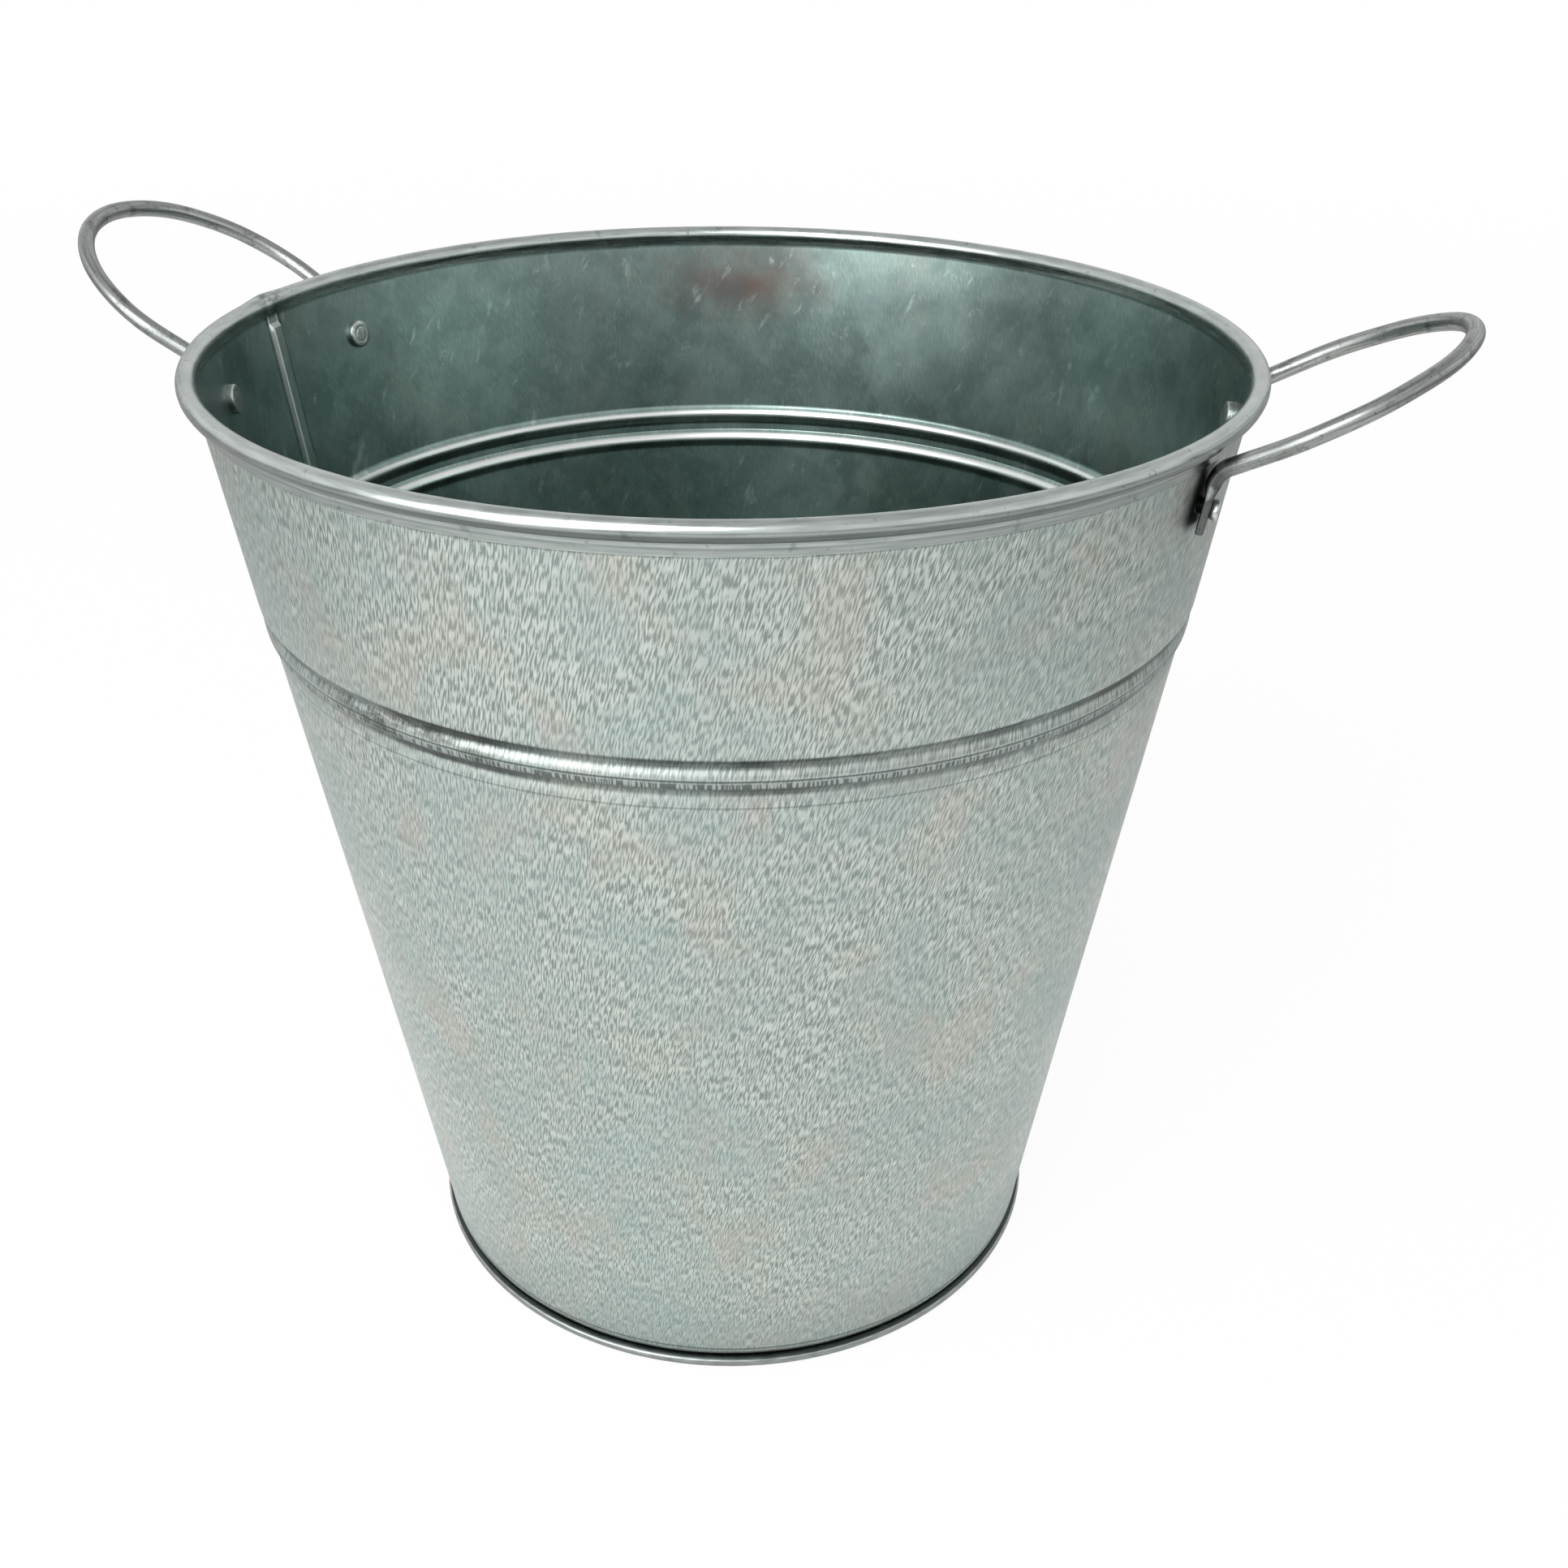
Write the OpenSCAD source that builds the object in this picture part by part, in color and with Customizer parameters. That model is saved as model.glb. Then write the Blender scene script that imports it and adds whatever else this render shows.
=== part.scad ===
// Florist bucket: a galvanised sheet-steel pail with a wired rim, two rolled
// swages, a folded foot and two fixed wire handles riveted below the rim.
// Handles lie on X, the lock seam of the wall on -X, the floor at Z = 0.

/* [Bucket] */
// Overall height, from the floor to the top of the rolled rim
height = 291; // [240:1:350]
// Diameter over the rolled rim
rim_outer_d = 285; // [250:1:330]
// Diameter of the tapered wall where its line meets the floor
base_d = 203.4; // [175:0.2:220]
// Thickness of the galvanised sheet
sheet_t = 0.5; // [0.4:0.05:0.7]

/* [Rim] */
// Diameter of the wire inside the rolled rim
rim_wire_d = 3.9; // [3:0.1:5]
// Play between the rim wire and the sheet rolled round it
rim_wire_play = 0.05; // [0.05:0.05:0.15]
// Distance that the wall's line stands inside the middle of the rim
wall_in = 1.7; // [1.4:0.1:2.4]
// Depth of the rolled sheet's tail below the middle of the rim
tail_drop = 6; // [5:0.5:9]
// Gap between the tail and the wall
tail_gap = 0.15; // [0.1:0.05:0.4]

/* [Swages] */
// Depth of the upper swage's top edge below the middle of the rim
swage_drop = 55.8; // [45:0.1:90]
// Distance from the first swage to the second
swage_pitch = 7.6; // [6.5:0.1:12]
// Height of one swage
swage_w = 5.8; // [4:0.1:6.3]
// Depth of one swage
swage_depth = 1.1; // [0.6:0.1:1.6]
// Width that the band above the swages has over the wall's line, at its foot
band_step = 1; // [0:0.1:1.2]
// Width that the band has over the wall's line at the rim
band_top = 0.5; // [0:0.1:0.5]

/* [Foot] */
// Height of the crease above the floor, where the wall steps in to its neck
neck_h = 5.8; // [5.5:0.1:8]
// Depth of the neck inside the line of the wall
neck_in = 0.9; // [0.6:0.1:1.2]
// Reach of the folded lip past the neck
lip_out = 2.5; // [2.5:0.1:3.5]
// Play in the fold, over the wall's flange
fold_play = 0.5; // [0.4:0.1:0.7]
// Height that the bottom is raised off the floor
bottom_rise = 4; // [3.6:0.1:10]
// Play between the bottom's upright edge and the neck
bottom_play = 0.1; // [0.05:0.05:0.2]
// Thickness of the sealing ring in the fold
seal_t = 0.4; // [0.2:0.1:0.6]
// Width of the sealing ring
seal_w = 1; // [0.6:0.1:1.2]

/* [Lock seam] */
// Width of the folded seam inside the wall
seam_w = 4.5; // [3:0.5:8]
// Height of the folded seam over the wall
seam_t = 1.1; // [0.8:0.1:1.6]

/* [Handles] */
// Diameter of the handle wire
handle_wire_d = 4.4; // [4:0.1:5.4]
// Radius of the round end of the loop, to the middle of the wire
loop_r = 39; // [32:0.5:45]
// Length of each straight leg, from its bend to the round end
leg_l = 14; // [8:0.5:40]
// Angle by which each leg leans outward
leg_splay = 6.5; // [0:0.5:12]
// Angle at which the left handle rises over the level
rise_left = 31.3; // [20:0.1:45]
// Angle at which the right handle rises over the level
rise_right = 27.9; // [20:0.1:45]
// Angle that the right handle stands off the line through the left one
turn_right = -3; // [-5:0.5:5]
// Depth of the handle's bend below the middle of the rim
root_drop = 7.5; // [7:0.1:15]
// Radius of the bend, to the middle of the wire
bend_r = 6; // [5:0.5:7]
// Clearance between the wall and the round wire at the bend
root_clear = 0.2; // [0.1:0.05:0.5]
// Width of the flattened wire end
tab_w = 8; // [7:0.5:10]
// Thickness of the flattened wire end
tab_t = 2.2; // [1.8:0.1:2.6]
// Length of the flattened end below its rivet
tab_tail = 5.5; // [4.5:0.5:8]
// Clearance between the flattened end and the round wall
seat_gap = 0.1; // [0.05:0.05:0.2]

/* [Rivets] */
// Clearance between the round wire and the hammered end of the rivet
rivet_clear = 1.1; // [0.1:0.1:3]
// Diameter of the rivet shank
rivet_d = 4; // [3:0.1:4.5]
// Clearance of each rivet hole, on the diameter
rivet_play = 0.2; // [0.1:0.05:0.4]
// Diameter of the flat head inside the bucket
head_d = 7.8; // [6.5:0.1:10]
// Thickness of the flat head
head_t = 1.6; // [1:0.1:2]
// Diameter of the hammered end outside
cap_d = 5; // [5:0.1:6.5]
// Height of the hammered end
cap_t = 2.3; // [1.6:0.1:3]

/* [Hidden] */
$fn = 96;

zinc = [0.66, 0.70, 0.68];
zinc_dark = [0.50, 0.53, 0.52];
wire_grey = [0.52, 0.52, 0.50];
seal_black = [0.16, 0.16, 0.16];

// The rolled rim
wrap_r = rim_wire_d / 2 + rim_wire_play;
bead_r = wrap_r + sheet_t;
rim_r = rim_outer_d / 2 - bead_r;
rim_z = height - bead_r;

// The line of the wall's outer face, and how far it leans from upright
wall_top_r = rim_r - wall_in;
base_r = base_d / 2;
slope = (wall_top_r - base_r) / rim_z;
lean = atan(slope);
function cone_r(z) = base_r + slope * z;

// The swages: a steep upper flank and a long lower one
swage_1 = rim_z - swage_drop;
swage_2 = swage_1 - swage_pitch;
function dip(z, top) = let (u = (top - z) / swage_w)
    u <= 0 || u >= 1 ? 0 : pow(sin(180 * pow(u, 0.75)), 2);
function rise(u) = u <= 0 ? 0 : u >= 1 ? 1 : (1 - cos(180 * u)) / 2;
function band(z) = band_step + (band_top - band_step) * max(0, z - swage_1) / swage_drop;
function wall_r(z) = cone_r(z) + band(z) * rise((z - swage_2 + swage_w) / swage_w)
    - swage_depth * (dip(z, swage_1) + dip(z, swage_2));

// The foot: bottom sheet, seal, flange, play and folded-back sheet
lip_h = 3 * sheet_t + seal_t + fold_play;
flange_top = 2 * sheet_t + seal_t;
neck_r = cone_r(neck_h) - neck_in;
lip_r = neck_r + lip_out;
fold_mid = lip_r - lip_h / 2;
flange_r = fold_mid + lip_h / 2 - 2 * sheet_t;
flange_bend = 0.5;

// Short flat run beside a bend, which keeps the next face true
flat_run = 0.2;

// An arc of points, and a path moved sideways to its left
function arc(c, r, a, b, n) = [for (i = [0 : n]) c + r * [cos(a + (b - a) * i / n), sin(a + (b - a) * i / n)]];
function dir(p, i) = let (q = p[min(i + 1, len(p) - 1)] - p[max(i - 1, 0)]) q / norm(q);
function shifted(p, d) = [for (i = [0 : len(p) - 1]) p[i] + d * [-dir(p, i)[1], dir(p, i)[0]]];
function reversed(p) = [for (i = [len(p) - 1 : -1 : 0]) p[i]];
module sheet(path) polygon(concat(path, reversed(shifted(path, sheet_t))));

// The outer face of the wall from its neck to the rim
step_h = 0.9;
neck_path = [for (i = [0 : 4]) let (u = i / 4)
    [neck_r + (cone_r(neck_h) - neck_r) * rise(u), neck_h - step_h + step_h * u]];
swage_low = swage_2 - swage_w;
swage_path = [for (i = [0 : 24]) let (z = swage_low + (swage_1 - swage_low) * i / 24) [wall_r(z), z]];
roll_low = 2.6;
roll_at = [wall_r(rim_z - roll_low) - rim_r, -roll_low];
roll_turn = 360 + atan2(roll_at[1], roll_at[0]) - acos(wrap_r / norm(roll_at));
roll_path = [[rim_r, rim_z] + roll_at];
wall_path = concat(neck_path, swage_path, roll_path);

// The sheet's roll round the wire, and its tail
tail_top_r = wall_r(rim_z - tail_drop / 2) + tail_gap + slope * tail_drop / 4;
tail_bend = 0.8;
curl_path = concat(
    arc([rim_r, rim_z], wrap_r, roll_turn, -90, 34),
    arc([tail_top_r + tail_bend, rim_z - wrap_r - tail_bend], tail_bend, 90, 180, 5),
    [[wall_r(rim_z - tail_drop) + tail_gap, rim_z - tail_drop]]);
flange_path = concat([[flange_r, flange_top], [neck_r + flange_bend + flat_run, flange_top]],
    arc([neck_r + flange_bend, flange_top + flange_bend], flange_bend, 270, 180, 5));

// The bottom sheet, along its middle: fold, floor ring, upright edge, disc
half_t = sheet_t / 2;
edge_bend = 0.4;
disc_bend = 0.8;
edge_r = neck_r - sheet_t - bottom_play - half_t;
plate_path = concat(
    [[neck_r + flange_bend, lip_h - half_t]],
    arc([fold_mid, lip_h / 2], lip_h / 2 - half_t, 90, -90, 12),
    [[fold_mid - flat_run, half_t], [edge_r + edge_bend + flat_run, half_t]],
    arc([edge_r + edge_bend, half_t + edge_bend], edge_bend, 270, 180, 4),
    arc([edge_r - disc_bend, bottom_rise - half_t - disc_bend], disc_bend, 0, 90, 6),
    [[edge_r - disc_bend - flat_run, bottom_rise - half_t], [0, bottom_rise - half_t]]);

// Handles: the bend of each leg lies off the wall, in the loop's own plane
root_z = rim_z - root_drop;
root_r = wall_r(root_z) + (handle_wire_d / 2 + root_clear) / cos(lean);
splay_x = leg_l * cos(leg_splay);
root_y = loop_r * cos(leg_splay) - leg_l * sin(leg_splay);
leg_turn = asin(root_y / root_r);
loop_x = splay_x + loop_r * sin(leg_splay);
root_x = root_r * cos(leg_turn);

// A bent run of wire is a hair thinner than a straight one, and starts inside it
bend_d = handle_wire_d - 0.04;
bend_ease = 0.3;
flatten_l = 2;

// Length that a bend takes from each straight run beside it, and how far down
// the wall that puts the rivet
function set_back(up) = bend_r * tan(acos(up_dir(1) * leg_dir(1, up)) / 2);
rivet_drop = set_back(min(rise_left, rise_right)) + flatten_l + rivet_clear + cap_d / 2;
rivet_z = root_z - rivet_drop * cos(lean);
function rivet_mid(s) = [wall_r(rivet_z) * cos(leg_turn), s * wall_r(rivet_z) * sin(leg_turn), rivet_z];

// Turn of each handle about the bucket's axis
function turn_of(side) = side == "left" ? 180 : turn_right;

// Directions at a leg: out of the wall, up along the wall, and along the leg
function out_dir(s) = [cos(lean) * cos(leg_turn), s * cos(lean) * sin(leg_turn), -sin(lean)];
function up_dir(s) = [sin(lean) * cos(leg_turn), s * sin(lean) * sin(leg_turn), cos(lean)];
function leg_dir(s, up) = [cos(leg_splay) * cos(up), s * sin(leg_splay), cos(leg_splay) * sin(up)];
function unit(v) = v / norm(v);

// Places children with their X, Y and Z on three given directions
module placed(x, y, z, at) multmatrix([[x[0], y[0], z[0], at[0]], [x[1], y[1], z[1], at[1]],
                                       [x[2], y[2], z[2], at[2]], [0, 0, 0, 1]]) children();

// A rivet's own frame: its middle on the wall's outer face, Z pointing outward
module at_rivet(side, s) {
    z = out_dir(s);
    y = up_dir(s);
    rotate([0, 0, turn_of(side)]) placed(cross(y, z), y, z, rivet_mid(s)) children();
}

module wall() color(zinc) difference() {
    union() {
        rotate_extrude($fn = 180) sheet(concat(flange_path, wall_path, curl_path));
        seam_path = concat([neck_path[4] + [slope, 1]], swage_path,
                           [[wall_r(rim_z - tail_drop), rim_z - tail_drop]]);
        rotate([90, 0, 180]) linear_extrude(height = seam_w, center = true)
            polygon(concat(shifted(seam_path, sheet_t / 2), reversed(shifted(seam_path, sheet_t + seam_t))));
    }
    for (side = ["left", "right"], s = [-1, 1])
        at_rivet(side, s) cylinder(d = rivet_d + rivet_play, h = 12 * sheet_t, center = true);
}

module rim_wire() color(wire_grey)
    translate([0, 0, rim_z]) rotate_extrude($fn = 180) translate([rim_r, 0]) circle(d = rim_wire_d, $fn = 48);

module bottom_plate() color(zinc_dark) rotate_extrude($fn = 180)
    polygon(concat(shifted(plate_path, half_t), reversed(shifted(plate_path, -half_t))));

module seam_seal() color(seal_black) translate([0, 0, sheet_t]) difference() {
    cylinder(r = fold_mid, h = seal_t, $fn = 180);
    translate([0, 0, -1]) cylinder(r = fold_mid - seal_w, h = seal_t + 2, $fn = 180);
}

// One leg: flattened and drilled end, round stub, bend and straight run
module leg(s, up) {
    root = [root_x, s * root_y, root_z];
    a = up_dir(s);
    b = leg_dir(s, up);
    turn = acos(a * b);
    n = unit(cross(a, b));
    side_dir = cross(n, a);
    start = root - set_back(up) * a;
    placed(cross(n, b), n, b, root + (set_back(up) - bend_ease) * b)
        cylinder(d = handle_wire_d, h = leg_l - set_back(up) + 2 * bend_ease);
    placed(cross(n, a), n, a, start) {
        translate([0, 0, -flatten_l]) cylinder(d1 = tab_t, d2 = handle_wire_d, h = flatten_l);
        cylinder(d = handle_wire_d, h = bend_ease);
    }
    placed(-side_dir, a, n, start + bend_r * side_dir)
        rotate_extrude(angle = turn) translate([bend_r, 0]) circle(d = bend_d, $fn = 48);
}

module tab(s) {
    x = cross(up_dir(s), out_dir(s));
    placed(x, up_dir(s), out_dir(s), rivet_mid(s) + seat_gap * out_dir(s)) difference() {
        union() {
            translate([-tab_w / 2, -tab_tail, 0]) cube([tab_w, tab_tail + 1, tab_t]);
            translate([0, 1, 0]) cylinder(d = tab_w, h = tab_t);
        }
        translate([0, 0, -1]) cylinder(d = rivet_d + rivet_play, h = tab_t + 2);
    }
}

module handle(side, up) rotate([0, 0, turn_of(side)]) {
    for (s = [-1, 1]) {
        leg(s, up);
        tab(s);
    }
    placed([cos(up), 0, sin(up)], [0, 1, 0], [-sin(up), 0, cos(up)], [root_x, 0, root_z])
        translate([loop_x, 0, 0]) rotate([0, 0, -90 - leg_splay])
            rotate_extrude(angle = 180 + 2 * leg_splay) translate([loop_r, 0])
                circle(d = bend_d, $fn = 48);
}
module handle_left() color(wire_grey) handle("left", rise_left);
module handle_right() color(wire_grey) handle("right", rise_right);

// Flat head inside, shank through wall and tab, hammered end outside
module rivet(side, s) color(zinc_dark) at_rivet(side, s) {
    head_under = -sheet_t / cos(lean) - seat_gap;
    top = seat_gap + tab_t;
    rotate_extrude() polygon(concat(
        [[0, head_under - head_t]],
        arc([head_d / 2 - 0.5, head_under - head_t + 0.5], 0.5, -90, 0, 4),
        [[head_d / 2, head_under], [rivet_d / 2, head_under], [rivet_d / 2, top], [cap_d / 2, top]],
        arc([cap_d / 2 - 0.9, top + cap_t - 0.9], 0.9, 0, 90, 5),
        [[0, top + cap_t]]));
}
module rivet_left_front() rivet("left", 1);
module rivet_left_back() rivet("left", -1);
module rivet_right_front() rivet("right", -1);
module rivet_right_back() rivet("right", 1);

wall();
rim_wire();
bottom_plate();
seam_seal();
handle_left();
handle_right();
rivet_left_front();
rivet_left_back();
rivet_right_front();
rivet_right_back();
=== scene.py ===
from math import acos, asin, atan, atan2, cos, pi, radians, sin, tan

import bpy
import numpy as np
from mathutils import Matrix, Vector


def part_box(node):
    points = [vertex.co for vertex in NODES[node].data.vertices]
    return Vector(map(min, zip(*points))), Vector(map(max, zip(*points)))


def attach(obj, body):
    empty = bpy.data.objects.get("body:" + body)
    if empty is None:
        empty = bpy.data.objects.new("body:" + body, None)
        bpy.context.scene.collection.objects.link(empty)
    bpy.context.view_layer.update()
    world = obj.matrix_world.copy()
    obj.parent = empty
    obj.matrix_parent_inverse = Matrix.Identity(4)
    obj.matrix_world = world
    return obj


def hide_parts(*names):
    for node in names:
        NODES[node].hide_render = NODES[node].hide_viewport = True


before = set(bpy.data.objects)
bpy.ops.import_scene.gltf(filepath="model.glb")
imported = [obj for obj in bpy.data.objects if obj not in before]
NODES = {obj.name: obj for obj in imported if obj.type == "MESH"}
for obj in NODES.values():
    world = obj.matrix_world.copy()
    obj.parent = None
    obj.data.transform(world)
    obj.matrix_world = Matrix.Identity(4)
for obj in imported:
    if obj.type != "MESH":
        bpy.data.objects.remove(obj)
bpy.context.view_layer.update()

MM = 0.001

# ---- Sizes in millimetres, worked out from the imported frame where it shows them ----

def box_mm(node):
    low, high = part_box(node)
    return [c / MM for c in low], [c / MM for c in high]


WIRE_LOW, WIRE_HIGH = box_mm("rim_wire")
WALL_HIGH = box_mm("wall")[1]
PLATE_HIGH = box_mm("bottom_plate")[1]

SHEET = 0.5
WIRE_R = (WIRE_HIGH[2] - WIRE_LOW[2]) / 2
RIM_Z = (WIRE_HIGH[2] + WIRE_LOW[2]) / 2
RIM_R = WIRE_HIGH[1] - WIRE_R
WRAP_R = WALL_HIGH[1] - SHEET - RIM_R          # inner radius of the sheet rolled round the wire
WALL_IN = 1.7                                  # the wall's line stands this far inside the rim's middle
TAIL_DROP = 6.0
TAIL_GAP = 0.15
BASE_R = 101.7
SLOPE = (RIM_R - WALL_IN - BASE_R) / RIM_Z
LEAN = atan(SLOPE)
SWAGE_DROP, SWAGE_PITCH, SWAGE_W, SWAGE_DEPTH = 55.8, 7.6, 5.8, 1.1
SWAGE_1 = RIM_Z - SWAGE_DROP
SWAGE_2 = SWAGE_1 - SWAGE_PITCH
BAND_STEP, BAND_TOP = 1.0, 0.5
NECK_H, NECK_IN = 5.8, 0.9
LIP_R, LIP_H = PLATE_HIGH[1], PLATE_HIGH[2]
SEAL_T = 0.4
BOTTOM_RISE = 4.0
SEAM_W, SEAM_T = 4.5, 1.1
HANDLE_D, LOOP_R, LEG_L, SPLAY = 4.4, 39.0, 14.0, radians(6.5)
RISE = {"left": radians(31.3), "right": radians(27.9)}
TURN = {"left": pi, "right": radians(-3)}
ROOT_DROP, BEND_R, ROOT_CLEAR = 7.5, 6.0, 0.2
TAB_W, TAB_T, TAB_TAIL, SEAT_GAP = 8.0, 2.2, 5.5, 0.1
FLATTEN, RIVET_CLEAR = 2.0, 1.1
RIVET_D, HEAD_D, HEAD_T, CAP_D, CAP_T = 4.0, 7.8, 1.6, 5.0, 2.3
TAB_TWIST = radians(14)                        # the flat ends are turned out of the wall's line
SEAM_R = 138.0                                 # the seam's rib keeps the width that it has at this radius
HOLE_GAP = 0.1
FINE = 0.04                                    # the wire's radius is this much less, to stay in its box

# ---- Numbers for the materials ----

TO_MM = 1000.0
ROUND_R = 125.0                                # patterns on the wall are laid out at this radius
# how deep the finest relief is, in metres
GRAIN_DEPTH, WIRE_DEPTH, FOLD_DEPTH, SEAL_DEPTH = 0.00004, 0.00006, 0.00008, 0.0001
SMEAR_TURN = radians(109)                      # where the dark smudges over the swages lie, clockwise from +X as seen from above
SCORCH_TURN = radians(105.5)                   # the scorched bloom, the other way round from +X
SCORCH_DROP, SCORCH_W, SCORCH_H = 15.0, 32.0, 13.0


# ---- Small helpers for shape ----

def smooth(x, low=0.0, high=1.0):
    """0 below low, 1 above high and an even curve between."""
    t = np.clip((x - low) / (high - low), 0, 1)
    return t * t * (3 - 2 * t)


def ripple(seed, waves, count=7):
    """A slow even wave round the bucket, from -1 to 1, with the given numbers of waves to a turn."""
    rng = np.random.RandomState(seed)
    k = rng.randint(waves[0], waves[1] + 1, count)
    phase = rng.uniform(0, 2 * pi, count)
    size = rng.uniform(0.5, 1, count)
    return lambda a: sum(s * np.sin(n * a + p) for n, p, s in zip(k, phase, size)) / size.sum()


def arc(c, r, a, b, n):
    """Points along an arc, its angles in degrees."""
    t = np.radians(np.linspace(a, b, n + 1))
    return np.stack([c[0] + r * np.cos(t), c[1] + r * np.sin(t)], 1)


def shifted(path, d):
    """A path moved sideways to its left."""
    ahead = np.vstack([path[1:], path[-1:]]) - np.vstack([path[:1], path[:-1]])
    ahead /= np.linalg.norm(ahead, axis=1)[:, None]
    return path + d * np.stack([-ahead[:, 1], ahead[:, 0]], 1)


def mesh_object(name, verts, faces, mats, index=None, sharp=35):
    """A smooth shaded mesh in metres from points in millimetres."""
    mesh = bpy.data.meshes.new(name)
    mesh.from_pydata((np.asarray(verts) * MM).tolist(), [], faces)
    for m in mats:
        mesh.materials.append(m)
    if index is not None:
        mesh.polygons.foreach_set("material_index", np.asarray(index, np.int32))
    mesh.polygons.foreach_set("use_smooth", np.ones(len(mesh.polygons), bool))
    mesh.update()
    mesh.set_sharp_from_angle(angle=radians(sharp))
    obj = bpy.data.objects.new(name, mesh)
    bpy.context.scene.collection.objects.link(obj)
    return obj


def tube_faces(rings, n):
    """The faces of a tube of rings with n points each, with a flat face over either end."""
    faces = [[a * n + b, a * n + (b + 1) % n, (a + 1) * n + (b + 1) % n, (a + 1) * n + b]
             for a in range(rings - 1) for b in range(n)]
    return faces + [list(range(n))[::-1], [(rings - 1) * n + b for b in range(n)]]


def lathe(name, profile, slots, angles, mats, warp):
    """Turns a closed profile of (radius, height) points round the axis; warp moves the grid's points."""
    m, n = len(angles), len(profile)
    a = np.repeat(np.asarray(angles)[:, None], n, 1)
    r = np.repeat(profile[None, :, 0], m, 0)
    z = np.repeat(profile[None, :, 1], m, 0)
    a, r, z = warp(a, r, z)
    verts = np.stack([r * np.cos(a), r * np.sin(a), z], 2).reshape(-1, 3)
    i, j = np.meshgrid(np.arange(m), np.arange(n), indexing="ij")
    i2, j2 = (i + 1) % m, (j + 1) % n
    quads = np.stack([i * n + j, i2 * n + j, i2 * n + j2, i * n + j2], 2).reshape(-1, 4)
    index = np.repeat(np.asarray(slots)[None, :], m, 0).reshape(-1)
    return mesh_object(name, verts, quads.tolist(), mats, index)


# ---- Small helpers for materials ----

def linear(code):
    """A colour written as sRGB hex, as the linear colour that the shader takes."""
    parts = [int(code[i:i + 2], 16) / 255 for i in (1, 3, 5)]
    return tuple([c / 12.92 if c <= 0.04045 else ((c + 0.055) / 1.055) ** 2.4 for c in parts] + [1.0])


def add(tree, kind, inputs=None, **settings):
    """Adds one node, with its settings, and its inputs as values or as links from other nodes' outputs."""
    node = tree.nodes.new(kind)
    for key, value in settings.items():
        setattr(node, key, value)
    for key, value in (inputs or {}).items():
        if isinstance(value, bpy.types.NodeSocket):
            tree.links.new(value, node.inputs[key])
        else:
            node.inputs[key].default_value = value
    return node


def calc(tree, operation, a, b=0.0):
    return add(tree, "ShaderNodeMath", {0: a, 1: b}, operation=operation).outputs[0]


def spread(tree, value, low, high, to_low=0.0, to_high=1.0):
    """Maps a value's range to another, held at its ends."""
    return add(tree, "ShaderNodeMapRange", {"Value": value, "From Min": low, "From Max": high,
                                            "To Min": to_low, "To Max": to_high}).outputs["Result"]


def blend(tree, factor, a, b):
    return add(tree, "ShaderNodeMix", {0: factor, 6: a, 7: b}, data_type="RGBA", blend_type="MIX").outputs[2]


def tint(tree, body, mask, depth, code):
    """Lays a colour over the body's colour where the mask is 1, as strongly as depth says."""
    return blend(tree, calc(tree, "MULTIPLY", mask, depth), body, linear(code))


def bump(tree, strength, depth, height):
    """The normal of a fine relief whose depth is in metres."""
    return add(tree, "ShaderNodeBump", {"Strength": strength, "Distance": depth, "Height": height}).outputs[0]


def noise(tree, vector, scale, detail=2.0, rough=0.5, distort=0.0):
    return add(tree, "ShaderNodeTexNoise", {"Vector": vector, "Scale": scale, "Detail": detail,
                                            "Roughness": rough, "Distortion": distort}).outputs["Fac"]


def new_material(name):
    mat = bpy.data.materials.new(name)
    mat.use_nodes = True
    mat.node_tree.nodes.clear()
    return mat, mat.node_tree


def close(tree, colour, rough, normal, metallic=1.0):
    shader = add(tree, "ShaderNodeBsdfPrincipled", {"Base Color": colour, "Metallic": metallic,
                                                    "Roughness": rough, "Normal": normal})
    add(tree, "ShaderNodeOutputMaterial", {"Surface": shader.outputs[0]})


def surface_place(tree):
    """A place on the object in metres, and its three parts."""
    place = add(tree, "ShaderNodeTexCoord").outputs["Object"]
    return place, add(tree, "ShaderNodeSeparateXYZ", {0: place}).outputs


def round_wall(tree):
    """Places on the wall in millimetres: along its round, and up. The join lies behind the lock seam."""
    place, part = surface_place(tree)
    turn = calc(tree, "ARCTAN2", part["Y"], part["X"])
    return place, calc(tree, "MULTIPLY", turn, ROUND_R), calc(tree, "MULTIPLY", part["Z"], TO_MM)


def level_sheet(tree):
    """Places on the bottom's level disc in millimetres, along its X and its Y."""
    place, part = surface_place(tree)
    return place, calc(tree, "MULTIPLY", part["X"], TO_MM), calc(tree, "MULTIPLY", part["Y"], TO_MM)


def axis_reach(tree, place):
    """How far a place lies from the bucket's axis, in millimetres."""
    flat = add(tree, "ShaderNodeVectorMath", {0: place, 1: (TO_MM, TO_MM, 0.0)}, operation="MULTIPLY")
    return add(tree, "ShaderNodeVectorMath", {0: flat.outputs[0]}, operation="LENGTH").outputs["Value"]


def at(tree, along, up, width, height, deep=0.0):
    """A pattern place whose unit is width along the round and height up, both in millimetres."""
    return add(tree, "ShaderNodeCombineXYZ", {0: calc(tree, "DIVIDE", along, width),
                                              1: calc(tree, "DIVIDE", up, height), 2: deep}).outputs[0]


def slanted(tree, along, up, slant):
    """The place along the round, moved on by slant for each millimetre up."""
    return calc(tree, "ADD", along, calc(tree, "MULTIPLY", up, slant))


def line(tree, up, middle, half, soft):
    """1 along a level line at a height in millimetres, and 0 away from it."""
    off = calc(tree, "ABSOLUTE", calc(tree, "SUBTRACT", up, middle))
    return spread(tree, off, half, half + soft, 1.0, 0.0)


def both(tree, a, b):
    """Where two masks overlap."""
    return calc(tree, "MULTIPLY", a, b)


# ---- Materials ----

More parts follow.
